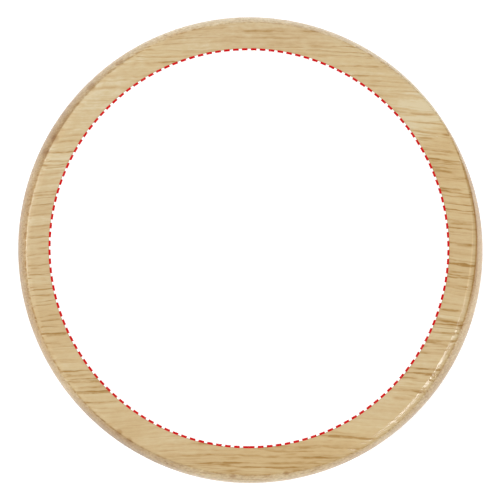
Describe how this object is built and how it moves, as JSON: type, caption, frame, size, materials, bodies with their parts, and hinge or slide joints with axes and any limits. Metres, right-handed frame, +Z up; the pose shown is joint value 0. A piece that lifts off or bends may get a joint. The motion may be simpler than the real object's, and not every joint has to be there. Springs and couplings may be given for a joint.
{
  "type": "coaster with bottle opener",
  "caption": "Round turned-wood drink coaster with a flush white disc in its top face and a steel crown-cap opener plate screwed over a cap cavity in its underside.",
  "frame": {"origin": "on the table under the middle of the coaster, at the lower faces of the feet", "axes": "+Z up through the coaster's top face, +X along the grain of the wood, -Y towards the opener's catch lip"},
  "size_m": [0.1, 0.1, 0.0155],
  "materials": {
    "wood": "satin lacquered pale hardwood",
    "white_face": "smooth white printable face",
    "print_ink": "thin red print on the white face",
    "stainless": "brushed",
    "screw_steel": "bright",
    "rubber": "matt"
  },
  "bodies": {
    "root": {"wood_body": "wood", "print_insert": "white_face", "opener_plate": "stainless", "screw_1": "screw_steel", "screw_2": "screw_steel", "screw_3": "screw_steel", "foot_1": "rubber", "foot_2": "rubber", "foot_3": "rubber", "foot_4": "rubber"}
  },
  "joints": []
}
